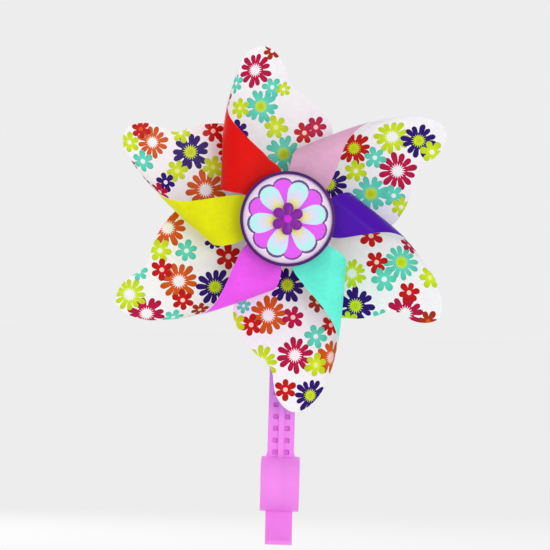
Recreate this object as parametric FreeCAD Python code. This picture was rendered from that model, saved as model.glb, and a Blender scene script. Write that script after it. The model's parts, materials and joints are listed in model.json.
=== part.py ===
"""A child's clip-on bicycle pinwheel: a six-bladed rotor on a ribbed stem that snaps onto a handlebar.

Frame: millimetres, +X along the handlebar, +Z up the stem, and the rotor faces -Y.
The origin is the centre of the handlebar clip's bore.

Each blade is one curved plastic sheet. Its shape is worked out in flat coordinates (w, t):
w runs across the sheet from the free lobe, past the root, round the curl and along the flap to the
front of the hub, and t runs outwards along the curl's axis. sheet_point() rolls that flat shape up.
"""

import FreeCAD, Part
import math
import os

V = FreeCAD.Vector

# ---- driving dimensions -------------------------------------------------------------------------
HUB_Z = 140.0            # rotor axis above the handlebar's axis

# handlebar clip and its thumb tab
BAR_R = 11.1             # a 22.2 mm child's handlebar
CLIP_WALL = 3.4
CLIP_WIDTH = 20.5
CLIP_ROUND = 0.7         # rounding of its outer edges
MOUTH_UPPER_DEG = 170.0  # where the ring ends, measured from the front (-Y) over the top
MOUTH_LOWER_DEG = -95.0
LIP_R = 2.2              # rounded lead-in on the upper jaw
TAB_WIDTH = 14.2
TAB_BOTTOM_Z = -29.3
TAB_THICK = 2.4
TAB_CURVE_R = 17.0       # the tab's hollow front face
TAB_ROUND = 0.4

# stem
STEM_WIDTH = 14.0
STEM_THICK = 3.6
STEM_FOOT_OUT, STEM_FOOT_RISE = 0.7, 2.6   # the slightly wider foot on the clip
STEM_ROUND = 0.4         # rounding of the front edges
RIB_WIDTH = 2.8
RIB_PROUD = 1.2
RIB_BOTTOM_Z = 14.2
POCKET_W, POCKET_H, POCKET_DEEP = 2.9, 2.7, 1.9
POCKET_X = 3.05          # centre of each column from the stem's middle
POCKET_FIRST_Z = 16.7
POCKET_PITCH = 6.25
POCKET_ROWS = 17
BOSS_R = 9.5
BOSS_FRONT = 5.4         # depths are measured forwards of the stem's mid-plane, which is y = 0
BOSS_BACK = -3.4

# axle
AXLE_R = 2.0
AXLE_RUN = 0.06          # radial running clearance
AXLE_HEAD_R, AXLE_HEAD_THICK = 4.4, 1.6
AXLE_FRONT = 42.2
WASHER_R, WASHER_THICK = 5.0, 0.8
RETAINER_R, RETAINER_THICK = 4.2, 2.6

# rotor hub
TUBE_R = 4.2
TUBE_BACK, TUBE_FRONT = 6.5, 38.6
BACK_FLANGE_R, BACK_FLANGE_THICK = 15.5, 1.8
BACK_FLANGE_BACK = 8.2
FRONT_FLANGE_R, FRONT_FLANGE_THICK = 18.5, 1.8
FLANGE_GAP = 0.35        # from a flange or the cap's base to the sheet's surface
COLLAR_R = 7.5
PEG_R = 1.3
SHOULDER_R = 2.3         # the seats that hold the blades' roots off the back flange
RIVET_HEAD_R, RIVET_HEAD_THICK = 2.4, 0.9
ROOT_PEG_AT = 12.0       # distance of the pegs from the rotor's axis
FLAP_PEG_AT = 13.0
FLAP_PEG_TURN = 33.0     # degrees from a blade's direction to its flap's peg

# front cap and medallion
CAP_R = 25.0
CAP_WALL = 1.6
CAP_BASE_THICK = 1.6
CAP_DEPTH = 11.0
CAP_RIM_ROUND = 0.7
CAP_HOLE_R = 7.0
LEDGE_WIDTH = 1.6
DISC_THICK = 1.0
DISC_SINK = 2.3          # the disc's face below the cap's rim
DOME_RISE, DOME_EDGE = 1.5, 0.6
BUTTON_PETALS = 6
BUTTON_REACH, BUTTON_PETAL_R, BUTTON_THICK = 9.2, 3.1, 1.5
BUTTON_TURN = 28.0       # degrees
STUD_HEAD_R, STUD_HEAD_RISE, STUD_R = 2.1, 1.0, 1.2

# blades
SHEET = 0.36             # sheet thickness
ROOT_DEPTH = 12.0        # the sheet's depth where it crosses the rotor's radius line
PITCH_DEG = 9.0          # the lobe's tilt, as on a propeller
LEAD_IN = 10.1           # flat length from the root line to the start of the gentle bend
GENTLE = 15.0            # length of that bend
GENTLE_END_DEG = 24.0    # the sheet's slope where the tight curl starts
CURL_R = 9.5             # the tight curl's nominal radius, which places its crest
FLAP_DEPTH = 36.2        # the flaps' depth at the front of the hub
AXIS_BACK_DEG = 6.0      # the curl's axis lies this far clockwise of the blade's own direction
TIP_BEND_FROM = 42.0     # the lobe bends forwards beyond this t
PEG_HOLE_R = 1.6

# The sheet's cut edge, from the lobe's clockwise side to the flap's end, as (w, t).
OUTER_EDGE = [(-27.4, 51.5), (-26.6, 55.2), (-24.6, 59.0), (-20.8, 65.0), (-14.9, 71.4), (-8.6, 76.2),
              (-5.6, 80.8), (-4.7, 86.5), (-3.2, 92.4), (0.4, 97.6), (5.2, 100.4), (10.6, 99.4), (17.3, 94.4),
              (23.6, 85.4), (29.0, 75.0), (33.5, 65.2), (37.6, 58.6), (43.2, 52.0), (51.0, 43.2),
              (59.6, 34.2), (65.4, 27.4), (68.0, 20.4), (69.1, 14.0), (69.7, 10.0)]
INNER_EDGE = [(-27.4, 48.5), (-26.2, 43.5), (-23.2, 36.0), (-18.4, 27.6), (-12.8, 19.0), (-8.7, 12.4),
              (-5.8, 8.4), (-2.2, 5.9), (2.0, 5.8), (6.4, 8.2), (10.6, 12.0), (17.0, 16.4), (24.0, 19.4),
              (31.0, 20.8), (36.2, 20.2), (42.0, 17.0), (48.0, 13.4), (54.0, 11.0), (60.0, 8.8), (65.0, 6.6),
              (68.4, 5.6), (69.7, 6.8)]

REST_TURN = 1.8          # how the rotor happens to stand
# Six equal sheets, each held a little differently on its pegs: its direction and the extra turn of its
# curl's axis in degrees, how far its curl is pulled out and how much more so near the hub, its lobe's lean
# towards the curl, how far its edges reach out at the crest, along the flap and at the inner corner, its
# lobe's stretch, and the radius of its lobe's forward bend.
BLADES = {
    "red": (90.0, 6.0, 4.0, 0.05, 0.08, -3.0, -3.0, -4.0, -0.10, 110.0),
    "pink": (30.0, 2.0, -1.0, 0.08, -0.01, 5.0, 0.5, 1.0, -0.08, 150.0),
    "purple": (-30.0, 1.0, -1.5, 0.07, -0.02, 1.0, 0.0, 0.0, -0.06, 140.0),
    "turquoise": (-90.0, 2.0, 2.0, 0.02, 0.05, 1.5, -0.5, 0.0, 0.01, 300.0),
    "magenta": (-150.0, -2.0, 1.0, 0.04, 0.03, 1.0, 0.0, 0.5, 0.0, 210.0),
    "yellow": (150.0, 0.0, 2.5, 0.10, 0.07, 1.0, -0.5, 3.5, -0.05, 170.0),
}
HELD_FROM = 12.0         # t beyond which a lobe leans
TAPER_MID, TAPER_END = 40.0, 65.0   # t where a curl has its mean pull, and t beyond which it is constant
CURLED_FROM, CORNER_FROM = -5.0, 16.0   # w from which the reach at the crest and at the corner grows
CREST_FADE = (38.0, 48.0)  # w over which the crest's reach gives way to the flap's
FLAP_FADE = (60.0, 67.0)   # w over which the flap's reach returns to its peg
CROSS_POINTS = 52        # control points across a sheet
ALONG_POINTS = 9         # and along it


# ---- helpers ------------------------------------------------------------------------------------
def disc(radius, back, front, z=HUB_Z):
    """A cylinder about the rotor's axis, between two depths forwards of y = 0."""
    return Part.makeCylinder(radius, front - back, V(0, -back, z), V(0, -1, 0))


def at_angle(radius, degrees):
    """(x, z) at a distance from the rotor's axis, seen from the front."""
    a = math.radians(degrees)
    return radius * math.cos(a), HUB_Z + radius * math.sin(a)


def pegs(direction):
    """Where a blade's root and its flap are held, as two (x, z) places."""
    turned = direction + REST_TURN
    return at_angle(ROOT_PEG_AT, turned), at_angle(FLAP_PEG_AT, turned + FLAP_PEG_TURN)


def post(radius, back, front, centre):
    """A round post along the depth, centred on (x, z)."""
    return Part.makeCylinder(radius, front - back, V(centre[0], -back, centre[1]), V(0, -1, 0))


def spline(points, count):
    """count points on a smooth line through the given ones, closer together where they are."""
    ends = [points[0]] + list(points) + [points[-1]]
    found = []
    spans = len(points) - 1
    for i in range(count):
        s = i / (count - 1) * spans
        k = min(int(s), spans - 1)
        u = s - k
        p0, p1, p2, p3 = ends[k:k + 4]
        found.append(tuple(
            0.5 * (2 * b + (c - a) * u + (2 * a - 5 * b + 4 * c - d) * u * u
                   + (3 * b - a - 3 * c + d) * u ** 3)
            for a, b, c, d in zip(p0, p1, p2, p3)))
    return found


def value_at(line, w):
    """t on a line of (w, t) points at w."""
    for (w0, t0), (w1, t1) in zip(line, line[1:]):
        if w <= w1:
            return t0 + (t1 - t0) * max(0.0, (w - w0) / max(w1 - w0, 1e-9))
    return line[-1][1]


# ---- the blade's rolled-up sheet ----------------------------------------------------------------
def arc_step(x, f, heading, length, turn):
    """Moves along an arc in the section plane. heading 0 points to -x, and it turns towards the front."""
    if abs(turn) < 1e-9:
        return x - length * math.cos(heading), f + length * math.sin(heading)
    radius = length / turn
    return (x - radius * (math.sin(heading + turn) - math.sin(heading)),
            f - radius * (math.cos(heading + turn) - math.cos(heading)))


def section(w, curl_out):
    """(x, depth, heading) of the sheet's section at flat distance w from the root line."""
    pitch, gentle_end = math.radians(PITCH_DEG), math.radians(GENTLE_END_DEG)
    lead = LEAD_IN + curl_out
    if w <= lead:
        return -w * math.cos(pitch), ROOT_DEPTH + w * math.sin(pitch), pitch
    x, f = -lead * math.cos(pitch), ROOT_DEPTH + lead * math.sin(pitch)
    part = min(w - lead, GENTLE)
    turn = (gentle_end - pitch) * part / GENTLE
    x, f = arc_step(x, f, pitch, part, turn)
    if w <= lead + GENTLE:
        return x, f, pitch + turn
    curl_r = (FLAP_DEPTH - f) / (1.0 + math.cos(gentle_end))
    part = min(w - lead - GENTLE, curl_r * (math.pi - gentle_end))
    x, f = arc_step(x, f, gentle_end, part, part / curl_r)
    rest = w - lead - GENTLE - part
    return x + rest, f, gentle_end + part / curl_r


def share(value, start, end):
    """0 before start, 1 after end, and in proportion between them."""
    return min(1.0, max(0.0, (value - start) / (end - start)))


def pulled_out(t, curl_out, taper):
    """How far the curl is pulled out at t, since each curl is slightly conical."""
    return curl_out + taper * (TAPER_MID - min(t, TAPER_END))


def as_held(line, curl_out, taper, lean, crest_from, crest_out, flap_out, stretch):
    """A line of the flat pattern as one sheet is held: the same cut shape, drawn a little askew."""
    held = []
    for w, t in line:
        curled = share(w, CURLED_FROM, CREST_W)
        crest = share(w, crest_from, CREST_W) * (1.0 - share(w, *CREST_FADE))
        flap = share(w, *CREST_FADE) * (1.0 - share(w, *FLAP_FADE))
        t_held = t * (1.0 + stretch * (1.0 - curled)) + crest_out * crest + flap_out * flap
        pulled = pulled_out(t_held, curl_out, taper) * (curled + share(w, CREST_W, CREST_W + 20.0))
        held.append((w + pulled + lean * max(0.0, t - HELD_FROM), t_held))
    return held


def sheet_point(w, t, curl_out, taper, bend_r, offset=0.0):
    """The rolled-up place of flat point (w, t), as (x, depth, along), moved offset to the printed side."""
    x, f, heading = section(w, pulled_out(t, curl_out, taper))
    toward = (math.sin(heading), math.cos(heading))   # the printed side's normal, in (x, depth)
    beyond = max(0.0, t - TIP_BEND_FROM)
    tip = beyond / bend_r
    along = min(t, TIP_BEND_FROM) + bend_r * math.sin(tip) - offset * math.sin(tip)
    lift = bend_r * (1 - math.cos(tip)) + offset * math.cos(tip)
    return x + lift * toward[0], f + lift * toward[1], along


def spline_face(rows, degree_u, degree_v):
    """A B-spline face whose control points are the given rows of vectors."""
    def knots(count, degree):
        spans = count - degree
        return [float(i) for i in range(spans + 1)], [degree + 1] + [1] * (spans - 1) + [degree + 1]
    ku, mu = knots(len(rows), degree_u)
    kv, mv = knots(len(rows[0]), degree_v)
    surface = Part.BSplineSurface()
    surface.buildFromPolesMultsKnots(rows, mu, mv, ku, kv, False, False, degree_u, degree_v)
    return surface.toShape()


def blade(direction, extra_turn, curl_out, taper, lean, crest_out, flap_out, corner_out, stretch, bend_r):
    cut_outer, cut_inner = spline(OUTER_EDGE, CROSS_POINTS), spline(INNER_EDGE, 4 * CROSS_POINTS)
    outer = as_held(cut_outer, curl_out, taper, lean, CURLED_FROM, crest_out, flap_out, stretch)
    inner = as_held(cut_inner, curl_out, taper, lean, CORNER_FROM, corner_out, 0.0, stretch)

    def side(offset):
        rows = []
        for w, t_out in outer:
            t_in = value_at(inner, w)
            row = []
            for j in range(ALONG_POINTS):
                t = t_in + (t_out - t_in) * j / (ALONG_POINTS - 1)
                x, f, along = sheet_point(w, t, curl_out, taper, bend_r, offset)
                row.append(V(x, -f, HUB_Z + along))
            rows.append(row)
        return rows

    printed, plain = side(SHEET / 2), side(-SHEET / 2)
    faces = [spline_face(printed, 3, 3), spline_face(plain, 3, 3)]
    for a, b in ((printed[0], plain[0]), (printed[-1], plain[-1])):
        faces.append(spline_face([a, b], 1, 3))
    for j in (0, -1):
        faces.append(spline_face([[r[j] for r in printed], [r[j] for r in plain]], 1, 3))
    shell = Part.makeShell(faces)
    shell.sewShape()
    solid = Part.makeSolid(shell)
    if solid.Volume < 0:
        solid.reverse()
    turned = direction + REST_TURN - 90.0 - AXIS_BACK_DEG + extra_turn
    solid.rotate(V(0, 0, HUB_Z), V(0, -1, 0), turned)
    root, flap = pegs(direction)
    solid = solid.cut(post(PEG_HOLE_R, ROOT_DEPTH - 5, ROOT_DEPTH + 5, root))
    return solid.cut(post(PEG_HOLE_R, FLAP_DEPTH - 5, FLAP_DEPTH + 5, flap))


CREST_W = LEAD_IN + GENTLE + CURL_R * (math.pi / 2 - math.radians(GENTLE_END_DEG))
FLANGE_FRONT = FLAP_DEPTH - SHEET / 2 - FLANGE_GAP       # the front flange's face, behind the flaps
CAP_BACK = FLAP_DEPTH + SHEET / 2 + FLANGE_GAP
CAP_FRONT = CAP_BACK + CAP_DEPTH
DISC_FRONT = CAP_FRONT - DISC_SINK
DOME_CROWN = DISC_FRONT + DOME_EDGE + DOME_RISE


# ---- the bracket: stem, boss, clip and tab in one moulding --------------------------------------
def clip_ring():
    outer = BAR_R + CLIP_WALL
    ring = Part.makeCylinder(outer, CLIP_WIDTH, V(-CLIP_WIDTH / 2, 0, 0), V(1, 0, 0))
    ring = ring.makeFillet(CLIP_ROUND, [e for e in ring.Edges if isinstance(e.Curve, Part.Circle)])
    # the mouth is a wedge behind and below the bore
    reach = 3 * outer
    corners = [V(-CLIP_WIDTH, 0, 0)]
    steps = 6
    lower = MOUTH_LOWER_DEG + 360.0
    for i in range(steps + 1):
        a = math.radians(MOUTH_UPPER_DEG + (lower - MOUTH_UPPER_DEG) * i / steps)
        corners.append(V(-CLIP_WIDTH, -reach * math.cos(a), reach * math.sin(a)))
    wedge = Part.Face(Part.makePolygon(corners + corners[:1])).extrude(V(2 * CLIP_WIDTH, 0, 0))
    a = math.radians(MOUTH_UPPER_DEG)
    mid = BAR_R + CLIP_WALL - LIP_R
    lip = Part.makeCylinder(LIP_R, CLIP_WIDTH, V(-CLIP_WIDTH / 2, -mid * math.cos(a), mid * math.sin(a)),
                            V(1, 0, 0))
    return ring.cut(wedge).fuse(lip)


def clip_bore():
    return Part.makeCylinder(BAR_R, 2 * CLIP_WIDTH, V(-CLIP_WIDTH, 0, 0), V(1, 0, 0))


def thumb_tab():
    """Hangs from the lower jaw and curves forwards, so a thumb can pull the jaw open."""
    top_z = -(BAR_R + CLIP_WALL / 2)
    drop = top_z - TAB_BOTTOM_Z
    centre_y = -TAB_CURVE_R - TAB_THICK / 2
    turn = math.asin(drop / TAB_CURVE_R)

    def arc(radius):
        def at(part):
            a = turn * part
            return V(-TAB_WIDTH / 2, centre_y + radius * math.cos(a), top_z - radius * math.sin(a))
        return at
    front, back = arc(TAB_CURVE_R), arc(TAB_CURVE_R + TAB_THICK)
    tip = front(1).add(back(1)).multiply(0.5)
    nose = tip.add(V(0, -TAB_THICK / 2 * math.sin(turn), -TAB_THICK / 2 * math.cos(turn)))
    wire = Part.Wire([
        Part.Arc(front(0), front(0.5), front(1)).toShape(),
        Part.Arc(front(1), nose, back(1)).toShape(),
        Part.Arc(back(1), back(0.5), back(0)).toShape(),
        Part.LineSegment(back(0), front(0)).toShape(),
    ])
    tab = Part.Face(wire).extrude(V(TAB_WIDTH, 0, 0))
    sides = [e for e in tab.Edges if abs(abs(e.CenterOfMass.x) - TAB_WIDTH / 2) < 1e-3
             and e.CenterOfMass.z < top_z - 1.0]
    return tab.makeFillet(TAB_ROUND, sides)


def stem_plate():
    """The flat stem with a round top about the axle and a slightly wider foot on the clip."""
    half = STEM_WIDTH / 2
    foot_z = BAR_R + CLIP_WALL * 0.6
    foot_top = BAR_R + CLIP_WALL + STEM_FOOT_RISE
    y = STEM_THICK / 2

    def side(sign):
        """A straight side and the foot's slanted edge, from the top down."""
        places = [(half, HUB_Z), (half, foot_top), (half + STEM_FOOT_OUT, foot_top - STEM_FOOT_RISE),
                  (half + STEM_FOOT_OUT, foot_z)]
        return [V(sign * x, y, z) for x, z in places]
    right, left = side(1), side(-1)
    path = Part.makePolygon(left + right[::-1]).Edges
    crown = Part.Arc(right[0], V(0, y, HUB_Z + half), left[0]).toShape()
    plate = Part.Face(Part.Wire(path + [crown])).extrude(V(0, -STEM_THICK, 0))
    front = [e for e in plate.Edges if abs(e.CenterOfMass.y + y) < 1e-3 and e.CenterOfMass.z > foot_z + 0.1]
    return plate.makeFillet(STEM_ROUND, front)


def pocket(x, z):
    """A blind pocket with rounded corners in the stem's front face."""
    box = Part.makeBox(POCKET_W, 2 * POCKET_DEEP, POCKET_H,
                       V(x - POCKET_W / 2, -STEM_THICK / 2 - POCKET_DEEP, z - POCKET_H / 2))
    upright = [e for e in box.Edges if abs(e.tangentAt(e.FirstParameter).y) > 0.9]
    return box.makeFillet(0.8, upright)


def rib():
    """The round-ended rib down the stem's front, which runs onto the clip."""
    top_z = HUB_Z
    front = STEM_THICK / 2 + RIB_PROUD
    bar = Part.makeBox(RIB_WIDTH, front, top_z - RIB_BOTTOM_Z, V(-RIB_WIDTH / 2, -front, RIB_BOTTOM_Z))
    end = Part.makeCylinder(RIB_WIDTH / 2, front, V(0, 0, RIB_BOTTOM_Z), V(0, -1, 0))
    return bar.fuse(end)


def bracket():
    body = clip_ring().fuse([thumb_tab(), stem_plate(), rib(), disc(BOSS_R, BOSS_BACK, BOSS_FRONT)])
    for row in range(POCKET_ROWS):
        for side in (-1, 1):
            body = body.cut(pocket(side * POCKET_X, POCKET_FIRST_Z + row * POCKET_PITCH))
    body = body.cut(clip_bore())
    body = body.cut(disc(AXLE_R, BOSS_BACK - 1, BOSS_FRONT + 1))
    return body.removeSplitter()


# ---- the axle and what is on it -----------------------------------------------------------------
def axle():
    head = disc(AXLE_HEAD_R, BOSS_BACK - AXLE_HEAD_THICK, BOSS_BACK)
    rim = [e for e in head.Edges if abs(e.CenterOfMass.y + BOSS_BACK - AXLE_HEAD_THICK) < 1e-3]
    pin = disc(AXLE_R, BOSS_BACK - AXLE_HEAD_THICK / 2, AXLE_FRONT)
    return head.makeFillet(0.6, rim).fuse(pin).removeSplitter()


def washer(back):
    return disc(WASHER_R, back, back + WASHER_THICK).cut(disc(AXLE_R + 0.15, back - 1, back + 2))


def retainer(back):
    """A domed push-on cap that keeps the rotor on the axle."""
    cap = disc(RETAINER_R, back, back + RETAINER_THICK)
    rim = [e for e in cap.Edges if abs(e.CenterOfMass.y + back + RETAINER_THICK) < 1e-3]
    return cap.makeFillet(1.2, rim).cut(disc(AXLE_R, back - 1, back + 2 * RETAINER_THICK))


# ---- the rotor's hub ----------------------------------------------------------------------------
def root_depth(extra_turn):
    """The sheet's depth at its root peg, which lies a little to one side of the curl's axis."""
    aside = ROOT_PEG_AT * math.sin(math.radians(AXIS_BACK_DEG - extra_turn))
    return ROOT_DEPTH + aside * math.tan(math.radians(PITCH_DEG))


def root_gap():
    """From the sheet's middle at a peg to a flat seat or rivet head that its slope just clears."""
    return SHEET / 2 + math.tan(math.radians(PITCH_DEG)) * RIVET_HEAD_R + 0.05


def spindle():
    """Tube and back flange in one, with a drilled seat for each blade's root."""
    flange_front = BACK_FLANGE_BACK + BACK_FLANGE_THICK
    body = disc(TUBE_R, TUBE_BACK, TUBE_FRONT).fuse(disc(BACK_FLANGE_R, BACK_FLANGE_BACK, flange_front))
    for facts in BLADES.values():
        centre = pegs(facts[0])[0]
        body = body.fuse(post(SHOULDER_R, flange_front - 0.5, root_depth(facts[1]) - root_gap(), centre))
        body = body.cut(post(PEG_R, BACK_FLANGE_BACK - 1, ROOT_DEPTH + 5, centre))
    return body.cut(disc(AXLE_R + AXLE_RUN, TUBE_BACK - 1, TUBE_FRONT + 1)).removeSplitter()


def root_rivets():
    """One push rivet through each blade's root and the back flange."""
    rivets = []
    for facts in BLADES.values():
        centre = pegs(facts[0])[0]
        under_head = root_depth(facts[1]) + root_gap()
        top = under_head + RIVET_HEAD_THICK
        head = post(RIVET_HEAD_R, under_head, top, centre)
        rim = [e for e in head.Edges if abs(e.CenterOfMass.y + top) < 1e-3]
        rivets.append(head.makeFillet(0.4, rim).fuse(post(PEG_R, BACK_FLANGE_BACK, under_head + 0.2, centre)))
    return Part.makeCompound(rivets)


def front_flange():
    """Pressed onto the spindle's tube, with a locating peg for each flap."""
    back = FLANGE_FRONT - FRONT_FLANGE_THICK
    body = disc(FRONT_FLANGE_R, back, FLANGE_FRONT).fuse(disc(COLLAR_R, back - 3.0, back + 0.5))
    for facts in BLADES.values():
        centre = pegs(facts[0])[1]
        body = body.fuse(post(PEG_R, back + 0.5, CAP_BACK + CAP_BASE_THICK, centre))
    return body.cut(disc(TUBE_R, back - 5, FLANGE_FRONT + 1)).removeSplitter()


def cap():
    """A purple dish, open to the front, whose base clamps the flaps and takes the flange's pegs."""
    body = disc(CAP_R, CAP_BACK, CAP_FRONT)
    rims = [e for e in body.Edges if e.Length > 6 * CAP_R
            and min(abs(e.CenterOfMass.y + CAP_FRONT), abs(e.CenterOfMass.y + CAP_BACK)) < 1e-3]
    body = body.makeFillet(CAP_RIM_ROUND, rims)
    inside = CAP_R - CAP_WALL
    body = body.cut(disc(inside - LEDGE_WIDTH, CAP_BACK + CAP_BASE_THICK, CAP_FRONT + 1))
    body = body.cut(disc(inside, DISC_FRONT - DISC_THICK, CAP_FRONT + 1))
    body = body.cut(disc(CAP_HOLE_R, CAP_BACK - 1, CAP_FRONT))
    for facts in BLADES.values():
        centre = pegs(facts[0])[1]
        body = body.cut(post(PEG_R, CAP_BACK - 1, CAP_BACK + CAP_BASE_THICK + 1, centre))
    return body.removeSplitter()


def medallion_disc():
    inside = CAP_R - CAP_WALL
    back = DISC_FRONT - DISC_THICK
    return disc(inside, back, DISC_FRONT).cut(disc(STUD_R, back - 1, DISC_FRONT + 1))


def medallion_dome():
    """A clear, slightly domed cover over the printed disc."""
    inside = CAP_R - CAP_WALL
    ball_r = (inside ** 2 + DOME_RISE ** 2) / (2 * DOME_RISE)
    ball = Part.makeSphere(ball_r, V(0, -(DOME_CROWN - ball_r), HUB_Z))
    body = disc(inside, DISC_FRONT, DOME_CROWN + 1).common(ball)
    return body.cut(disc(STUD_R, DISC_FRONT - 1, DOME_CROWN + 2))


def flower_button():
    """A moulded flower of rounded petals that sits on the dome."""
    back = DOME_CROWN + 0.05
    body = disc(BUTTON_PETAL_R, back, back + BUTTON_THICK)
    for i in range(BUTTON_PETALS):
        place = at_angle(BUTTON_REACH - BUTTON_PETAL_R, 360.0 / BUTTON_PETALS * i + BUTTON_TURN)
        body = body.fuse(post(BUTTON_PETAL_R, back, back + BUTTON_THICK * 0.8, place))
    return body.cut(disc(STUD_R, back - 1, back + 5)).removeSplitter()


def button_stud():
    """A round-headed stud that pins the flower through the dome to the disc."""
    seat = DOME_CROWN + 0.05 + BUTTON_THICK
    ball_r = (STUD_HEAD_R ** 2 + STUD_HEAD_RISE ** 2) / (2 * STUD_HEAD_RISE)
    ball = Part.makeSphere(ball_r, V(0, -(seat + STUD_HEAD_RISE - ball_r), HUB_Z))
    head = disc(STUD_HEAD_R, seat, seat + 2 * STUD_HEAD_RISE).common(ball)
    return head.fuse(disc(STUD_R, DISC_FRONT - DISC_THICK, seat + 0.3)).removeSplitter()


# ---- write every node ---------------------------------------------------------------------------
def main():
    nodes = {"handlebar_bracket": bracket(),
             "axle_pin": axle(),
             "back_washer": washer(BOSS_FRONT + 0.1),
             "front_washer": washer(TUBE_FRONT + 0.1),
             "axle_retainer": retainer(TUBE_FRONT + WASHER_THICK + 0.2),
             "hub_spindle": spindle(),
             "root_rivets": root_rivets(),
             "front_flange": front_flange(),
             "front_cap": cap(),
             "medallion_disc": medallion_disc(),
             "medallion_dome": medallion_dome(),
             "flower_button": flower_button(),
             "button_stud": button_stud()}
    for name, facts in BLADES.items():
        nodes["blade_" + name] = blade(*facts)
    os.makedirs("parts", exist_ok=True)
    for name, shape in nodes.items():
        solids = shape.Solids
        print(f"{name}: {len(solids)} solid, valid {shape.isValid()}, {shape.Volume:.1f} mm3, "
              f"y {shape.BoundBox.YMin:.2f} to {shape.BoundBox.YMax:.2f}")
        shape.exportStep(os.path.join("parts", name + ".step"))


main()
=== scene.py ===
"""Looks of the clip-on bicycle pinwheel: printed blades, medallion, moulded bracket, light and camera."""
import bmesh
import bpy
import json
import math
import numpy as np
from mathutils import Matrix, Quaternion, Vector, geometry


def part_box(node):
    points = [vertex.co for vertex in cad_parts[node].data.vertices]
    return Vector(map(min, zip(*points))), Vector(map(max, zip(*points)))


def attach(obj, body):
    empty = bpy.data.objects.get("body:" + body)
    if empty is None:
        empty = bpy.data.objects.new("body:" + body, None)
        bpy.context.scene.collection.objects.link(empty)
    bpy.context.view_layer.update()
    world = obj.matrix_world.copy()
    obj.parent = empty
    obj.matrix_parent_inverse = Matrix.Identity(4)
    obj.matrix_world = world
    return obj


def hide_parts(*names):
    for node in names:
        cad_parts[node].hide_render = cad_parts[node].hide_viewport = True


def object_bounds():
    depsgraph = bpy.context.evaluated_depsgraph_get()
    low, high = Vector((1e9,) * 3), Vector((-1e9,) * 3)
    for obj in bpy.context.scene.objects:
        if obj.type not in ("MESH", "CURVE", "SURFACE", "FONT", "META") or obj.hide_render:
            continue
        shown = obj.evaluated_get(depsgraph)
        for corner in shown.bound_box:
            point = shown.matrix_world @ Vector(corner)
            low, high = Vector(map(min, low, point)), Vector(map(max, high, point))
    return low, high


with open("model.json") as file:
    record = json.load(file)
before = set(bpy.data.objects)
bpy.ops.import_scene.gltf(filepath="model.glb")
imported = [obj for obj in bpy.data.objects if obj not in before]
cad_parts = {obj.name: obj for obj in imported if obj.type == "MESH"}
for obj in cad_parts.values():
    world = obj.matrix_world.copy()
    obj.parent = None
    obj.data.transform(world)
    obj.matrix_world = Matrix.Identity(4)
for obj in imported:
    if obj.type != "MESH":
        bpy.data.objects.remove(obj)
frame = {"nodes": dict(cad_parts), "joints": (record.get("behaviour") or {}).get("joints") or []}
cad_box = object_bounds()

MM = 0.001
HUB_Z = frame["joints"][0]["pos_m"][2] / MM
LEAN_DEG = 1.6          # how far the object leans clockwise in the picture

# ---- the blades' sheets, in millimetres, the same shapes as the CAD model's ----------------------
# w runs across the flat sheet from the free lobe round the curl to the flap's end, and t runs outwards.
SHEET = 0.34
ROOT_DEPTH = 12.0
FLAP_DEPTH = 36.2
PITCH_DEG = 9.0
LEAD_IN = 10.1
GENTLE = 15.0
GENTLE_END_DEG = 24.0
CURL_R = 9.5
AXIS_BACK_DEG = 6.0
TIP_BEND_FROM = 42.0
HELD_FROM = 12.0
TAPER_MID, TAPER_END = 40.0, 65.0
CURLED_FROM, CORNER_FROM = -5.0, 16.0
CREST_FADE = (38.0, 48.0)
FLAP_FADE = (60.0, 67.0)
REST_TURN = 1.8
CREST_W = LEAD_IN + GENTLE + CURL_R * (math.pi / 2 - math.radians(GENTLE_END_DEG))

OUTER_EDGE = [(-27.4, 51.5), (-26.6, 55.2), (-24.6, 59.0), (-20.8, 65.0), (-14.9, 71.4), (-8.6, 76.2),
              (-5.6, 80.8), (-4.7, 86.5), (-3.2, 92.4), (0.4, 97.6), (5.2, 100.4), (10.6, 99.4), (17.3, 94.4),
              (23.6, 85.4), (29.0, 75.0), (33.5, 65.2), (37.6, 58.6), (43.2, 52.0), (51.0, 43.2),
              (59.6, 34.2), (65.4, 27.4), (68.0, 20.4), (69.1, 14.0), (69.7, 10.0)]
INNER_EDGE = [(-27.4, 48.5), (-26.2, 43.5), (-23.2, 36.0), (-18.4, 27.6), (-12.8, 19.0), (-8.7, 12.4),
              (-5.8, 8.4), (-2.2, 5.9), (2.0, 5.8), (6.4, 8.2), (10.6, 12.0), (17.0, 16.4), (24.0, 19.4),
              (31.0, 20.8), (36.2, 20.2), (42.0, 17.0), (48.0, 13.4), (54.0, 11.0), (60.0, 8.8), (65.0, 6.6),
              (68.4, 5.6), (69.7, 6.8)]
EDGE_POINTS = 110
GRID = 1.5               # spacing of the points inside a sheet
LOBE_SIDE_W = -34.0      # w just beyond a lobe's free side
HALVINGS = 24            # steps that narrow down a printed place to far below its outline's width

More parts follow.
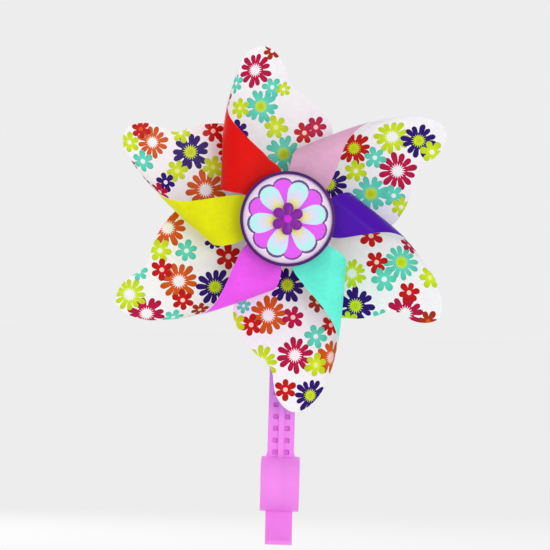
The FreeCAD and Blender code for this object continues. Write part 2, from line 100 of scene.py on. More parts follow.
# Six equal sheets, each held a little differently on its pegs: its direction and the extra turn of its
# curl's axis in degrees, how far its curl is pulled out and how much more so near the hub, its lobe's lean
# towards the curl, how far its edges reach out at the crest, along the flap and at the inner corner, its
# lobe's stretch, and the radius of its lobe's forward bend.
BLADES = {
    "red": (90.0, 6.0, 4.0, 0.05, 0.08, -3.0, -3.0, -4.0, -0.10, 110.0),
    "pink": (30.0, 2.0, -1.0, 0.08, -0.01, 5.0, 0.5, 1.0, -0.08, 150.0),
    "purple": (-30.0, 1.0, -1.5, 0.07, -0.02, 1.0, 0.0, 0.0, -0.06, 140.0),
    "turquoise": (-90.0, 2.0, 2.0, 0.02, 0.05, 1.5, -0.5, 0.0, 0.01, 300.0),
    "magenta": (-150.0, -2.0, 1.0, 0.04, 0.03, 1.0, 0.0, 0.5, 0.0, 210.0),
    "yellow": (150.0, 0.0, 2.5, 0.10, 0.07, 1.0, -0.5, 3.5, -0.05, 170.0),
}

# ---- colours, as 8-bit screen values -------------------------------------------------------------
BACKS = {
    "red": (236, 8, 0),
    "pink": (232, 176, 208),
    "purple": (78, 0, 176),
    "turquoise": (106, 255, 228),
    "magenta": (250, 92, 252),
    "yellow": (238, 240, 0),
}
INKS = {
    "white": (252, 250, 252),
    "crimson": (196, 14, 74),
    "red": (204, 18, 16),
    "orange": (222, 92, 22),
    "brown": (176, 50, 20),
    "navy": (48, 12, 118),
    "lime": (212, 236, 28),
    "aqua": (98, 222, 196),
    "blush": (255, 216, 204),
    "lemon": (246, 250, 150),
}

# ---- the print: kind, ink, millimetres right of the hub and above it, radius, centre's ink -------
# The places are on the rotor's face as it is seen from the front, with the object leaning.
PRINTS = {
    "red": [
        ("daisy", "crimson", -17, 78, 9.5, "white"), ("daisy", "aqua", -14, 59, 9.0, "lime"),
        ("daisy", "aqua", -2, 34, 9.5, "lime"), ("small", "aqua", -8, 69, 5.5, "white"),
        ("small", "aqua", -27, 71, 5.5, "white"), ("small", "lime", -25, 58, 5.5, "lemon"),
        ("small", "brown", -31, 63, 5.5, "orange"), ("small", "lime", -6, 48, 6.5, "lemon"),
        ("small", "navy", -26, 46, 6.0, "white"), ("small", "red", 9, 45, 6.0, "blush"),
        ("small", "crimson", 15, 48, 6.0, "blush"), ("small", "brown", -8, 88, 5.0, "white"),
        ("small", "lime", -2, 68, 4.0, "white"),
    ],
    "pink": [
        ("daisy", "red", 35, 37, 9.0, "lime"), ("daisy", "lime", 55, 43, 9.5, "white"),
        ("daisy", "navy", 69, 41, 9.5, "lime"), ("daisy", "crimson", 58, 25, 10.0, "white"),
        ("daisy", "aqua", 44, 13, 9.5, "lime"), ("daisy", "navy", 22, 18, 9.5, "lime"),
        ("small", "aqua", 46, 32, 6.0, "white"), ("small", "lime", 36, 25, 6.0, "white"),
        ("small", "aqua", 56, 12, 6.0, "white"), ("small", "lime", 76, 35, 6.5, "white"),
        ("small", "lime", 60, 6, 5.5, "white"),
    ],
    "purple": [
        ("daisy", "navy", 36, -46, 10.0, "lime"), ("daisy", "aqua", 60, -23, 9.5, "lime"),
        ("daisy", "crimson", 62, -50, 10.0, "white"), ("daisy", "lime", 34, -29, 7.5, "white"),
        ("small", "red", 47, -23, 6.0, "blush"), ("small", "aqua", 51, -32, 7.0, "white"),
        ("small", "red", 64, -39, 6.0, "blush"), ("small", "red", 44, -9, 6.5, "blush"),
        ("small", "crimson", 64, -14, 5.5, "blush"), ("small", "lime", 75, -31, 6.5, "lemon"),
        ("small", "brown", 74, -54, 6.0, "orange"), ("small", "aqua", 49, -53, 5.5, "white"),
        ("small", "lime", 32, -54, 5.5, "white"),
    ],
    "turquoise": [
        ("daisy", "navy", 0, -35, 9.5, "lime"), ("daisy", "orange", -10, -51, 10.0, "white"),
        ("daisy", "crimson", 4, -72, 9.5, "white"), ("daisy", "orange", 23, -73, 9.0, "blush"),
        ("daisy", "lime", -14, -76, 9.0, "white"), ("daisy", "navy", 12, -93, 9.0, "lime"),
        ("small", "red", -19, -56, 6.0, "blush"), ("small", "crimson", 3, -52, 6.0, "blush"),
        ("small", "brown", 16, -44, 5.5, "blush"), ("small", "red", 23, -56, 6.0, "blush"),
        ("small", "aqua", 15, -62, 6.5, "white"), ("small", "lime", 15, -77, 6.5, "lemon"),
        ("small", "aqua", -26, -70, 5.0, "white"), ("small", "lime", -28, -55, 6.0, "white"),
        ("small", "aqua", -23, -46, 4.0, "white"), ("small", "red", -1, -90, 6.0, "blush"),
    ],
    "magenta": [
        ("daisy", "orange", -63, -5, 10.0, "white"), ("daisy", "orange", -57, -33, 10.0, "white"),
        ("daisy", "navy", -38, -36, 10.0, "lime"), ("daisy", "crimson", -74, -50, 10.0, "white"),
        ("daisy", "lime", -83, -40, 9.0, "white"), ("small", "lime", -67, -17, 6.5, "white"),
        ("small", "aqua", -53, -17, 6.0, "white"), ("small", "red", -66, -27, 6.0, "blush"),
        ("small", "red", -31, -20, 7.0, "blush"), ("small", "navy", -39, -12, 4.5, "white"),
        ("small", "red", -55, -43, 6.0, "blush"), ("small", "aqua", -60, -52, 6.0, "white"),
        ("small", "brown", -46, -48, 5.0, "blush"), ("small", "aqua", -78, -28, 5.0, "white"),
    ],
    "yellow": [
        ("daisy", "orange", -71, 40, 8.5, "white"), ("daisy", "navy", -51, 35, 10.0, "lime"),
        ("daisy", "orange", -43, 15, 10.5, "white"), ("daisy", "red", -29, 37, 8.5, "blush"),
        ("small", "lime", -83, 40, 6.0, "white"), ("small", "red", -77, 47, 5.5, "orange"),
        ("small", "aqua", -76, 30, 6.5, "white"), ("small", "lime", -58, 25, 6.0, "lemon"),
        ("small", "navy", -64, 19, 5.5, "white"), ("small", "crimson", -67, 14, 6.0, "blush"),
        ("small", "lime", -39, 27, 6.0, "lemon"), ("small", "red", -39, 46, 6.0, "blush"),
        ("small", "lime", -56, 45, 5.5, "white"), ("small", "brown", -82, 29, 4.5, "white"),
        ("small", "navy", -75, 18, 4.5, "white"), ("small", "crimson", -28, 22, 5.0, "blush"),
    ],
}
# The printed side of every flap, which faces the hub. Its inks are stepped on from blade to blade.
FLAP_PRINT = [("daisy", 0, 45.0, 41.0, 8.6, "white"), ("small", 1, 38.5, 31.0, 5.6, "white"),
              ("small", 2, 54.5, 33.5, 5.6, "white"), ("daisy", 3, 51.0, 21.5, 8.4, "lime"),
              ("small", 4, 62.5, 24.5, 5.4, "blush"), ("small", 5, 37.5, 47.5, 5.2, "white"),
              ("small", 2, 31.0, 30.5, 5.6, "white")]
FLAP_INKS = ["orange", "aqua", "red", "navy", "lime", "crimson"]


# ---- the rolled-up sheet -------------------------------------------------------------------------
def spline(points, count):
    """count points on a smooth line through the given ones."""
    ends = [points[0]] + list(points) + [points[-1]]
    found = []
    spans = len(points) - 1
    for i in range(count):
        s = i / (count - 1) * spans
        k = min(int(s), spans - 1)
        u = s - k
        p0, p1, p2, p3 = ends[k:k + 4]
        found.append(tuple(
            0.5 * (2 * b + (c - a) * u + (2 * a - 5 * b + 4 * c - d) * u * u
                   + (3 * b - a - 3 * c + d) * u ** 3)
            for a, b, c, d in zip(p0, p1, p2, p3)))
    return found


def arc_step(x, f, heading, length, turn):
    """Moves along an arc in the section plane. heading 0 points to -x, and it turns towards the front."""
    if abs(turn) < 1e-9:
        return x - length * math.cos(heading), f + length * math.sin(heading)
    radius = length / turn
    return (x - radius * (math.sin(heading + turn) - math.sin(heading)),
            f - radius * (math.cos(heading + turn) - math.cos(heading)))


def section(w, curl_out):
    """(x, depth, heading) of the sheet's section at flat distance w from the root line."""
    pitch, gentle_end = math.radians(PITCH_DEG), math.radians(GENTLE_END_DEG)
    lead = LEAD_IN + curl_out
    if w <= lead:
        return -w * math.cos(pitch), ROOT_DEPTH + w * math.sin(pitch), pitch
    x, f = -lead * math.cos(pitch), ROOT_DEPTH + lead * math.sin(pitch)
    part = min(w - lead, GENTLE)
    turn = (gentle_end - pitch) * part / GENTLE
    x, f = arc_step(x, f, pitch, part, turn)
    if w <= lead + GENTLE:
        return x, f, pitch + turn
    curl_r = (FLAP_DEPTH - f) / (1.0 + math.cos(gentle_end))
    part = min(w - lead - GENTLE, curl_r * (math.pi - gentle_end))
    x, f = arc_step(x, f, gentle_end, part, part / curl_r)
    return x + w - lead - GENTLE - part, f, gentle_end + part / curl_r


def share(value, start, end):
    """0 before start, 1 after end, and in proportion between them."""
    return min(1.0, max(0.0, (value - start) / (end - start)))


def pulled_out(t, curl_out, taper):
    """How far the curl is pulled out at t, since each curl is slightly conical."""
    return curl_out + taper * (TAPER_MID - min(t, TAPER_END))


def as_held(line, curl_out, taper, lean, crest_from, crest_out, flap_out, stretch):
    """A line of the flat pattern as one sheet is held: the same cut shape, drawn a little askew."""
    held = []
    for w, t in line:
        curled = share(w, CURLED_FROM, CREST_W)
        crest = share(w, crest_from, CREST_W) * (1.0 - share(w, *CREST_FADE))
        flap = share(w, *CREST_FADE) * (1.0 - share(w, *FLAP_FADE))
        t_held = t * (1.0 + stretch * (1.0 - curled)) + crest_out * crest + flap_out * flap
        pulled = pulled_out(t_held, curl_out, taper) * (curled + share(w, CREST_W, CREST_W + 20.0))
        held.append((w + pulled + lean * max(0.0, t - HELD_FROM), t_held))
    return held


def sheet_point(w, t, curl_out, taper, bend_r, offset):
    """The rolled-up place of flat point (w, t), as (x, depth, along), moved offset to the printed side."""
    x, f, heading = section(w, pulled_out(t, curl_out, taper))
    toward = (math.sin(heading), math.cos(heading))
    beyond = max(0.0, t - TIP_BEND_FROM)
    tip = beyond / bend_r
    along = min(t, TIP_BEND_FROM) + bend_r * math.sin(tip) - offset * math.sin(tip)
    lift = bend_r * (1 - math.cos(tip)) + offset * math.cos(tip)
    return x + lift * toward[0], f + lift * toward[1], along


def on_sheet(right, above, turned, curl_out, taper, bend_r):
    """The flat point (w, t) of the lobe that is seen at a place on the rotor's face."""
    angle = turned - math.radians(LEAN_DEG)
    x = right * math.cos(angle) + above * math.sin(angle)
    along = above * math.cos(angle) - right * math.sin(angle)
    t = along
    if along > TIP_BEND_FROM:
        t = TIP_BEND_FROM + bend_r * math.asin(min(1.0, (along - TIP_BEND_FROM) / bend_r))
    low, high = LOBE_SIDE_W, CREST_W + pulled_out(t, curl_out, taper)
    for _ in range(HALVINGS):
        middle = (low + high) / 2
        if sheet_point(middle, t, curl_out, taper, bend_r, 0.0)[0] > x:
            low = middle
        else:
            high = middle
    return low, t


# ---- flat shapes and their inks ------------------------------------------------------------------
def linear(screen):
    """A screen colour of 0 to 255 as linear light."""
    return tuple((c / 255 / 12.92) if c <= 10 else ((c / 255 + 0.055) / 1.055) ** 2.4 for c in screen)


def blob(centre, angle, profile, radius):
    """A closed outline along angle from a half profile of (distance, half width), both shares of radius."""
    ca, sa = math.cos(angle), math.sin(angle)
    upper = [(r * radius, h * radius) for r, h in profile]
    lower = [(r, -h) for r, h in reversed(upper) if h > 1e-6]
    return [(centre[0] + r * ca - h * sa, centre[1] + r * sa + h * ca) for r, h in upper + lower]


def star(centre, outer, inner, spikes, turn):
    """A burst of spikes."""
    return [(centre[0] + (inner if i % 2 else outer) * math.cos(turn + math.pi * i / spikes),
             centre[1] + (inner if i % 2 else outer) * math.sin(turn + math.pi * i / spikes))
            for i in range(2 * spikes)]


def ring(centre, radius, count=16):
    return [(centre[0] + radius * math.cos(2 * math.pi * i / count),
             centre[1] + radius * math.sin(2 * math.pi * i / count)) for i in range(count)]


# Half of a petal: (distance from the flower's centre, half width), both as shares of its radius.
DAISY_PETAL = [(0.25, 0.0), (0.38, 0.10), (0.55, 0.13), (0.74, 0.16), (0.87, 0.15), (0.96, 0.09), (1.0, 0.0)]
SMALL_PETAL = [(0.05, 0.0), (0.20, 0.16), (0.42, 0.23), (0.64, 0.28), (0.82, 0.26), (0.94, 0.16), (1.0, 0.0)]


def flower(kind, ink, w, t, radius, heart):
    """One printed flower, as shapes (outline, inner colour, outer colour, centre, radius), bottom first."""
    colour = np.array(linear(INKS[ink]))
    bright, dark = np.minimum(colour * 1.12, 1.0), colour * 0.8
    centre = (w, t)
    turn = 0.7 * w + 0.31 * t
    shapes = []
    if kind == "daisy":
        for k in range(12):
            wobble = 0.05 * math.sin(3.1 * k + w)
            reach = radius * (1.0 + 0.07 * math.sin(2.3 * k + t))
            outline = blob(centre, turn + wobble + k * math.pi / 6, DAISY_PETAL, reach)
            shapes.append((outline, bright, dark, centre, radius))
        shapes.append((ring(centre, 0.50 * radius, 24), bright, dark, centre, radius))
        middle = np.array(linear(INKS[heart]))
        burst = star(centre, 0.44 * radius, 0.25 * radius, 18, turn)
        shapes.append((burst, middle, middle * 0.97, centre, radius))
        if heart == "lime":
            warm = middle * np.array((0.86, 0.82, 0.6))
            shapes.append((star(centre, 0.24 * radius, 0.13 * radius, 9, turn), warm, middle, centre, radius))
    else:
        for k in range(6):
            reach = radius * (1.0 + 0.05 * math.sin(2.9 * k + w))
            outline = blob(centre, turn + k * math.pi / 3, SMALL_PETAL, reach)
            shapes.append((outline, bright, dark, centre, radius))
        middle = np.array(linear(INKS[heart]))
        shapes.append((ring(centre, 0.42 * radius, 14), bright, dark, centre, radius))
        shapes.append((ring(centre, 0.21 * radius, 12), middle, middle, centre, radius))
    return shapes


def inside(outline, points):
    """Which of the points, an (n, 2) array, lie in a closed outline."""
    odd = np.zeros(len(points), bool)
    x, y = points[:, 0], points[:, 1]
    for (x0, y0), (x1, y1) in zip(outline, outline[1:] + outline[:1]):
        if y0 == y1:
            continue
        crosses = (y0 > y) != (y1 > y)
        odd ^= crosses & (x < (x1 - x0) * (y - y0) / (y1 - y0) + x0)
    return odd


def printed_sheet(outline, shapes, ground, spacing):
    """Flat triangles cut along every printed edge, as (points, triangles, colours of their corners)."""
    points = [Vector(p) for p in outline]
    edges = [(i, (i + 1) % len(outline)) for i in range(len(outline))]
    for shape in shapes:
        first, count = len(points), len(shape[0])
        points += [Vector(p) for p in shape[0]]
        edges += [(first + i, first + (i + 1) % count) for i in range(count)]
    low = np.array(outline).min(0)
    high = np.array(outline).max(0)
    grid = [(low[0] + (i + 0.5 * (j % 2)) * spacing, low[1] + j * spacing * 0.87)
            for j in range(int((high[1] - low[1]) / spacing / 0.87) + 1)
            for i in range(int((high[0] - low[0]) / spacing) + 1)]
    grid = np.array(grid)
    points += [Vector(p) for p in grid[inside(outline, grid)]]
    flat, _, faces = geometry.delaunay_2d_cdt(points, edges, [], 0, 1e-4)[:3]
    flat = np.array([tuple(p) for p in flat])
    triangles = np.array([f for f in faces if len(f) == 3])
    corners = flat[triangles]
    centres = corners.mean(1)
    keep = inside(outline, centres)
    triangles, corners, centres = triangles[keep], corners[keep], centres[keep]
    colours = np.empty(corners.shape[:2] + (4,))
    colours[..., :3] = linear(ground)
    colours[..., 3] = 1.0
    for edge, inner, outer, centre, radius in shapes:
        hit = inside(edge, centres)
        if hit.any():
            away = np.linalg.norm(corners[hit] - np.array(centre), axis=2, keepdims=True) / radius
            away = np.clip(away, 0.0, 1.0)
            colours[hit, :, :3] = np.array(inner) * (1 - away) + np.array(outer) * away
    used, renamed = np.unique(triangles, return_inverse=True)
    return flat[used], renamed.reshape(triangles.shape), colours


def solid_sheet(name, flat, triangles, colours, place, materials):
    """A thin closed sheet. place(w, t, side) gives a point for side +1, the printed one, and -1."""
    count = len(flat)
    verts = [place(w, t, 1) for w, t in flat] + [place(w, t, -1) for w, t in flat]
    front = [tuple(int(i) for i in f) for f in triangles]
    back = [(c + count, b + count, a + count) for a, b, c in front]
    ways = {}
    for a, b, c in front:
        for edge in ((a, b), (b, c), (c, a)):
            ways[edge] = True
    rim = [(b, a, a + count, b + count) for a, b in ways if (b, a) not in ways]
    mesh = bpy.data.meshes.new(name)
    mesh.from_pydata(verts, [], front + back + rim)
    ink = mesh.color_attributes.new("ink", "FLOAT_COLOR", "CORNER")
    loops = np.ones((len(mesh.loops), 4), np.float32)
    loops[:3 * len(front)] = colours.reshape(-1, 4)
    ink.data.foreach_set("color", loops.ravel())
    for material in materials:
        mesh.materials.append(material)
    index = np.array([0] * len(front) + [1] * len(back) + [2] * len(rim), np.int32)
    mesh.polygons.foreach_set("material_index", index)
    mesh.polygons.foreach_set("use_smooth", np.ones(len(index), bool))
    piece = bpy.data.objects.new(name, mesh)
    bpy.context.scene.collection.objects.link(piece)
    bm = bmesh.new()
    bm.from_mesh(mesh)
    bmesh.ops.recalc_face_normals(bm, faces=bm.faces)
    bm.to_mesh(mesh)
    bm.free()
    mesh.set_sharp_from_angle(angle=math.radians(50))
    return piece


# ---- materials -----------------------------------------------------------------------------------
class Nodes:
    """A material's node tree, with short ways to add to it."""

    def __init__(self, name):
        self.material = bpy.data.materials.new(name)
        self.material.use_nodes = True
        self.tree = self.material.node_tree
        self.shader = self.tree.nodes["Principled BSDF"]
        self.where = self.tree.nodes.new("ShaderNodeTexCoord").outputs["Object"]

    def set(self, **values):
        for key, value in values.items():
            self.shader.inputs[key.replace("_", " ")].default_value = value

    def link(self, out, into):
        self.tree.links.new(out, into)

    def noise(self, scale, detail=3.0, rough=0.5, stretch=None):
        node = self.tree.nodes.new("ShaderNodeTexNoise")
        node.inputs["Scale"].default_value = scale
        node.inputs["Detail"].default_value = detail
        node.inputs["Roughness"].default_value = rough
        source = self.where
        if stretch:
            mapping = self.tree.nodes.new("ShaderNodeMapping")
            mapping.inputs["Scale"].default_value = stretch
            self.link(self.where, mapping.inputs["Vector"])
            source = mapping.outputs["Vector"]
        self.link(source, node.inputs["Vector"])
        return node.outputs["Fac"]

    def spread(self, value, low, high, start=0.3, end=0.7):
        """value, which runs from start to end, as low to high."""
        node = self.tree.nodes.new("ShaderNodeMapRange")
        for key, number in zip(("From Min", "From Max", "To Min", "To Max"), (start, end, low, high)):
            node.inputs[key].default_value = number
        self.link(value, node.inputs["Value"])
        return node.outputs["Result"]

    def mix(self, a, b, factor, blend="MIX"):
        """Two colours, each a socket or an RGB tuple, mixed by a socket or a number."""
        node = self.tree.nodes.new("ShaderNodeMix")
        node.data_type = "RGBA"
        node.blend_type = blend
        for value, socket in ((a, node.inputs[6]), (b, node.inputs[7]), (factor, node.inputs[0])):
            if isinstance(value, bpy.types.NodeSocket):
                self.link(value, socket)
            elif isinstance(value, tuple):
                socket.default_value = tuple(value) + (1.0,)
            else:
                socket.default_value = value
        return node.outputs[2]

    def add(self, a, b, share):
        """a plus a share of b."""
        node = self.tree.nodes.new("ShaderNodeMath")
        node.operation = "MULTIPLY_ADD"
        self.link(b, node.inputs[0])
        node.inputs[1].default_value = share
        self.link(a, node.inputs[2])
        return node.outputs[0]

    def bump(self, height, strength, distance):
        node = self.tree.nodes.new("ShaderNodeBump")
        node.inputs["Strength"].default_value = strength
        node.inputs["Distance"].default_value = distance
        self.link(height, node.inputs["Height"])
        self.link(node.outputs["Normal"], self.shader.inputs["Normal"])


def vinyl(name, colour=None):
    """Glossy film, a little wavy: the print on one side, or one ink of the given colour on the other."""
    n = Nodes(name)
    if colour is None:
        attribute = n.tree.nodes.new("ShaderNodeVertexColor")
        attribute.layer_name = "ink"
        base = attribute.outputs["Color"]
    else:
        ink = linear(colour)
        base = n.mix(ink, tuple(0.86 * c for c in ink), n.spread(n.noise(55.0), 0.0, 1.0))
    patchy = n.mix(base, (0.94, 0.94, 0.95), n.spread(n.noise(420.0, 4.0), 0.0, 1.0), "MULTIPLY")
    n.link(patchy, n.shader.inputs["Base Color"])
    n.link(n.spread(n.noise(170.0, 4.0), 0.27, 0.38), n.shader.inputs["Roughness"])
    n.set(Specular_IOR_Level=0.12)
    waves = n.noise(24.0, 1.0, 0.4)
    grain = n.noise(260.0, 3.0)
    n.bump(n.add(waves, grain, 0.04), 0.35, 0.0035)
    return n.material


def card(name):
    """Smooth printed card: the print, with a fine paper texture and no waves."""
    n = Nodes(name)
    attribute = n.tree.nodes.new("ShaderNodeVertexColor")
    attribute.layer_name = "ink"
    fibres = n.spread(n.noise(900.0, 3.0), 0.0, 1.0)
    paper = n.mix(attribute.outputs["Color"], (0.98, 0.98, 0.98), fibres, "MULTIPLY")
    n.link(paper, n.shader.inputs["Base Color"])
    n.link(n.spread(n.noise(300.0), 0.5, 0.6), n.shader.inputs["Roughness"])
    n.set(Specular_IOR_Level=0.12)
    n.bump(n.noise(1200.0, 2.0), 0.04, 0.0002)
    return n.material


def moulded(name, colour, rough=(0.28, 0.42), grain=0.08, soft=0.0):
    """Injection-moulded plastic: slight mottling, a fine satin texture and faint flow lines."""
    n = Nodes(name)
    base = linear(colour)
    flow = n.noise(38.0, 3.0, 0.6, stretch=(1.0, 1.0, 0.25))
    mottled = n.mix(base, tuple(0.86 * c for c in base), n.spread(flow, 0.0, 1.0))
    n.link(mottled, n.shader.inputs["Base Color"])
    n.link(n.spread(n.noise(90.0, 5.0), *rough), n.shader.inputs["Roughness"])
    n.set(Specular_IOR_Level=0.25)
    if soft:
        n.set(Subsurface_Weight=soft, Subsurface_Scale=0.002)
        n.shader.inputs["Subsurface Radius"].default_value = (1.0, 0.5, 0.8)
    n.bump(n.noise(900.0, 2.0), grain, 0.0002)
    return n.material


def plated(name):
    """Zinc-plated steel with fine turning marks."""
    n = Nodes(name)
    marks = n.noise(300.0, 4.0, 0.6, stretch=(1.0, 6.0, 1.0))
    tone = n.mix((0.62, 0.62, 0.63), (0.45, 0.45, 0.47), n.spread(marks, 0.0, 1.0))
    n.link(tone, n.shader.inputs["Base Color"])
    n.set(Metallic=1.0)
    n.link(n.spread(n.noise(200.0), 0.22, 0.38), n.shader.inputs["Roughness"])
    n.bump(marks, 0.15, 0.0001)
    return n.material


def clear(name):
    """The medallion's clear cover."""
    n = Nodes(name)
    n.set(Alpha=0.04, Specular_IOR_Level=0.3)
    n.shader.inputs["Base Color"].default_value = (0.97, 0.97, 1.0, 1.0)
    n.link(n.spread(n.noise(60.0, 4.0), 0.03, 0.08), n.shader.inputs["Roughness"])
    return n.material


# ---- pieces --------------------------------------------------------------------------------------
def make_blade(colour, film, edge):
    direction, extra_turn, curl_out, taper, lean = BLADES[colour][:5]
    crest_out, flap_out, corner_out, stretch, bend_r = BLADES[colour][5:]
    cut_outer, cut_inner = spline(OUTER_EDGE, EDGE_POINTS), spline(INNER_EDGE, EDGE_POINTS)
    outer = as_held(cut_outer, curl_out, taper, lean, CURLED_FROM, crest_out, flap_out, stretch)
    inner = as_held(cut_inner, curl_out, taper, lean, CORNER_FROM, corner_out, 0.0, stretch)
    outline = outer + inner[::-1]
    step = list(BLADES).index(colour)
    flowers = []
    for kind, ink, w, t, radius, heart in FLAP_PRINT:
        ink = FLAP_INKS[(ink + step) % len(FLAP_INKS)]
        flowers += flower(kind, ink, w + 2 * curl_out, t, radius, heart)
    turned = math.radians(direction + REST_TURN - 90.0 - AXIS_BACK_DEG + extra_turn)
    for kind, ink, right, above, radius, heart in PRINTS[colour]:
        w, t = on_sheet(right, above, turned, curl_out, taper, bend_r)
        flowers += flower(kind, ink, w, t, radius, heart)
    flat, triangles, colours = printed_sheet(outline, flowers, INKS["white"], GRID)

    def place(w, t, side):
        x, depth, along = sheet_point(w, t, curl_out, taper, bend_r, side * SHEET / 2)
        return ((x * math.cos(turned) - along * math.sin(turned)) * MM, -depth * MM,
                (x * math.sin(turned) + along * math.cos(turned) + HUB_Z) * MM)

    back = vinyl("vinyl_" + colour, BACKS[colour])
    piece = solid_sheet("printed_blade_" + colour, flat, triangles, colours, place, [film, back, edge])
    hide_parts("blade_" + colour)
    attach(piece, "rotor")


MEDALLION_PETAL = [(0.10, 0.0), (0.24, 0.12), (0.42, 0.19), (0.60, 0.245), (0.73, 0.265), (0.84, 0.245),
                   (0.93, 0.185), (0.98, 0.10), (1.0, 0.0)]
PETAL_STEPS = 14         # bands of colour along a pale petal
DOME_GAP = 0.05          # between the print and the clear dome's flat back
DEEP_LINE_R, PALE_LINE_R = 21.6, 21.3   # how far the outlines of the deep and pale petals reach
LINE_OVER = 0.2          # and how much further their blunt ends are drawn
DEEP_R, PALE_R, BANDS_R = 20.8, 20.2, 19.6   # how far the petals' own colours reach
BAND_SLIMMER = 0.92      # a band's width as a share of its petal's
NEAREST_BAND = 0.42      # the innermost band's reach as a share of the outermost's
FIELD_RIM = 0.5          # width of the disc's plain rim
MEDALLION_TURN = math.radians(10.0)


def make_medallion(paper, edge):
    """The printed disc: an abstract flower of six pale petals over six magenta ones."""
    low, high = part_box("medallion_disc")
    radius = (high.x - low.x) / 2 / MM
    front, back = low.y + DOME_GAP * MM, high.y
    navy, plum = np.array(linear((52, 50, 118))), np.array(linear((116, 22, 142)))
    pink, deep = np.array(linear((236, 66, 250))), np.array(linear((214, 48, 232)))
    lilac = np.array(linear((226, 222, 250)))
    aqua, lemon = np.array(linear((168, 252, 240))), np.array(linear((252, 242, 84)))
    origin = (0.0, 0.0)
    pale = [MEDALLION_TURN + k * math.pi / 3 for k in range(6)]
    between = [a + math.pi / 6 for a in pale]
    field = np.array(linear((252, 228, 252)))
    shapes = [(ring(origin, radius - FIELD_RIM, 72), field, field, origin, radius)]
    for angles, ink, reach in ((between, plum, DEEP_LINE_R), (pale, navy, PALE_LINE_R)):
        drawn = reach + LINE_OVER
        shapes += [(blob(origin, a, MEDALLION_PETAL, drawn), ink, ink, origin, reach) for a in angles]
    for a in between:
        shapes.append((blob(origin, a, MEDALLION_PETAL, DEEP_R), deep, pink, origin, DEEP_R))
    for a in pale:
        shapes.append((blob(origin, a, MEDALLION_PETAL, PALE_R), lilac, lilac, origin, PALE_R))
        for i in range(PETAL_STEPS):
            s = 1.0 - i / PETAL_STEPS
            if s < 0.5:
                tone = lemon * (1 - 2 * s) + lilac * 2 * s
            else:
                tone = lilac * (2 - 2 * s) + aqua * (2 * s - 1)
            start = BANDS_R * (NEAREST_BAND + (1.0 - NEAREST_BAND) * s)
            band = [(r, BAND_SLIMMER * h) for r, h in MEDALLION_PETAL]
            shapes.append((blob(origin, a, band, start), tone, tone, origin, start))
    flat, triangles, colours = printed_sheet(ring(origin, radius, 96), shapes, (214, 186, 226), 1.6)

    def place(x, z, side):
        return (x * MM, front if side > 0 else back, z * MM + HUB_Z * MM)

    piece = solid_sheet("medallion_print", flat, triangles, colours, place, [paper, edge, edge])
    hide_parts("medallion_disc")
    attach(piece, "rotor")


BUTTON_TURN = math.radians(28.0)
BUTTON_PETAL_R = 2.75    # half a puffed petal's width
BUTTON_WAIST_R = 3.6     # how deep the grooves between the petals run
BUTTON_BASE = 0.35       # height of the button's edge above the dome


def make_flower_button(material):
    """Six puffed petals with grooves between them, on the dome."""
    low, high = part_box("flower_button")
    rise = (high.y - low.y) / MM
    reach = (high.x - low.x) / 2 / MM
    spine = reach - BUTTON_PETAL_R
    rings, around = 26, 240
    verts, faces = [], []

    def outline(turn):
        side = abs(math.sin(turn)) * spine
        if side < BUTTON_PETAL_R and math.cos(turn) > 0:
            round_end = math.sqrt(BUTTON_PETAL_R ** 2 - side ** 2)
            return max(BUTTON_WAIST_R, spine * math.cos(turn) + round_end)
        return BUTTON_WAIST_R

    def height(r, turn):
        along, aside = r * math.cos(turn), abs(r * math.sin(turn))
        past = max(0.0, along - spine)
        away = math.hypot(past, aside) / BUTTON_PETAL_R
        return math.sqrt(max(0.0, 1.0 - away ** 2))

    for j in range(rings + 1):
        s = math.sin(math.pi / 2 * j / rings)
        for i in range(around):
            a = 2 * math.pi * i / around
            turn = (a - BUTTON_TURN + math.pi / 6) % (math.pi / 3) - math.pi / 6
            r = outline(turn) * s
            h = BUTTON_BASE + (rise - BUTTON_BASE) * height(r, turn) if j < rings else 0.0
            verts.append((r * math.cos(a) * MM, high.y - h * MM, (HUB_Z + r * math.sin(a)) * MM))
    for j in range(rings):
        for i in range(around):
            k = (i + 1) % around
            faces.append((j * around + i, j * around + k, (j + 1) * around + k, (j + 1) * around + i))
    faces.append(tuple(range(rings * around, (rings + 1) * around)))
    mesh = bpy.data.meshes.new("puffed_flower")
    mesh.from_pydata(verts, [], faces)
    bm = bmesh.new()
    bm.from_mesh(mesh)
    bmesh.ops.remove_doubles(bm, verts=bm.verts, dist=1e-7)
    bmesh.ops.recalc_face_normals(bm, faces=bm.faces)
    bm.to_mesh(mesh)
    bm.free()
    mesh.materials.append(material)
    mesh.polygons.foreach_set("use_smooth", np.ones(len(mesh.polygons), bool))
    mesh.set_sharp_from_angle(angle=math.radians(60))
    piece = bpy.data.objects.new("puffed_flower", mesh)
    bpy.context.scene.collection.objects.link(piece)
    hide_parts("flower_button")
    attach(piece, "rotor")


def dress(node, material):
    """Gives a CAD node its finished material."""
    piece = frame["nodes"][node]
    for slot in piece.material_slots:
        slot.material = material


# ---- stage, light and camera ---------------------------------------------------------------------
FLOOR_R = 9.0            # further out than the camera ever stands
FLOOR_DROP = 0.03        # how far the floor lies below the object


def make_stage():
    """A pale round floor, open on every side so that nothing hides the object from any angle."""
    floor_z = cad_box[0].z - FLOOR_DROP
    mesh = bpy.data.meshes.new("floor")
    mesh.from_pydata([(x, y, floor_z) for x, y in ring((0.0, 0.0), FLOOR_R, 96)], [], [tuple(range(96))])
    n = Nodes("pale_floor")
    n.set(Roughness=0.95, Specular_IOR_Level=0.0)
    n.shader.inputs["Base Color"].default_value = (0.99, 0.99, 0.99, 1.0)
    mesh.materials.append(n.material)
    floor = bpy.data.objects.new("floor", mesh)
    bpy.context.scene.collection.objects.link(floor)


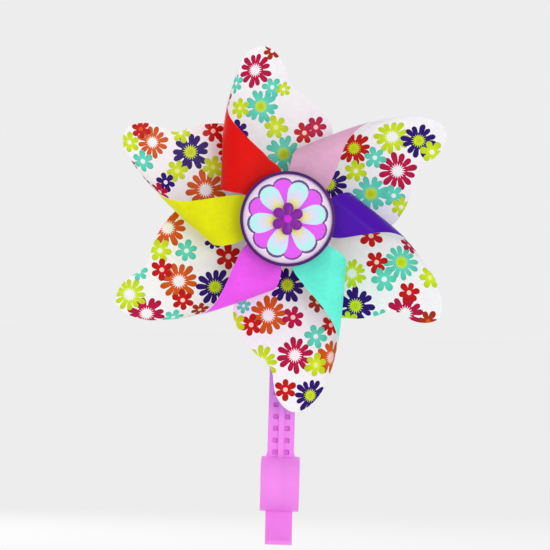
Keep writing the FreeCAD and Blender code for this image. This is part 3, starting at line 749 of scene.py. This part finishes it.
def make_light(name, place, target, size, power):
    data = bpy.data.lights.new(name, "AREA")
    data.shape = "DISK"
    data.size = size
    data.energy = power
    lamp = bpy.data.objects.new(name, data)
    bpy.context.scene.collection.objects.link(lamp)
    lamp.location = place
    lamp.rotation_euler = (Vector(target) - Vector(place)).to_track_quat("-Z", "Y").to_euler()


def make_camera():
    """Looks almost straight at the rotor's face from far off, as a product photograph does."""
    distance, seen = 6.0, 0.2888
    roll, azimuth, elevation = math.radians(LEAN_DEG), math.radians(-0.3), math.radians(0.6)
    target = Vector((-0.0057, -0.022, 0.1102))
    back = Vector((math.sin(azimuth) * math.cos(elevation), -math.cos(azimuth) * math.cos(elevation),
                   math.sin(elevation)))
    data = bpy.data.cameras.new("camera")
    data.sensor_width = 36.0
    data.lens = data.sensor_width * distance / seen
    data.clip_start, data.clip_end = 0.05, 20.0
    camera = bpy.data.objects.new("camera", data)
    bpy.context.scene.collection.objects.link(camera)
    camera.location = target + back * distance
    camera.rotation_mode = "QUATERNION"
    camera.rotation_quaternion = (-back).to_track_quat("-Z", "Y") @ Quaternion((0, 0, 1), roll)
    bpy.context.scene.camera = camera


def make_world():
    world = bpy.data.worlds.new("studio")
    world.use_nodes = True
    world.node_tree.nodes["Background"].inputs["Color"].default_value = (1.0, 1.0, 1.0, 1.0)
    world.node_tree.nodes["Background"].inputs["Strength"].default_value = 0.85
    bpy.context.scene.world = world
    bpy.context.scene.view_settings.view_transform = "Standard"
    middle = (0.0, -0.02, 0.12)
    make_light("key", (0.42, -1.15, 0.22), middle, 0.40, 2.4)
    make_light("back", (-0.5, 1.1, 0.5), middle, 0.6, 1.2)


make_camera()
make_world()
make_stage()
film, edge = vinyl("printed_vinyl"), vinyl("vinyl_cut_edge", (246, 242, 246))
for colour in BLADES:
    make_blade(colour, film, edge)
make_medallion(card("medallion_card"), edge)
make_flower_button(moulded("purple_flower_plastic", (136, 22, 164), (0.30, 0.42), 0.05))
dress("handlebar_bracket", moulded("pink_plastic", (255, 146, 250), soft=0.15))
dress("front_cap", moulded("dark_purple_plastic", (74, 8, 104), (0.25, 0.38)))
for node in ("hub_spindle", "front_flange"):
    dress(node, moulded("purple_plastic_" + node, (98, 24, 140)))
dress("root_rivets", moulded("nylon", (238, 234, 240)))
dress("button_stud", moulded("magenta_plastic", (218, 40, 222), (0.12, 0.2), 0.03))
dress("medallion_dome", clear("clear_plastic"))
frame["nodes"]["medallion_dome"].visible_shadow = False
metal = plated("zinc_plate")
for node in ("axle_pin", "back_washer", "front_washer", "axle_retainer"):
    dress(node, metal)
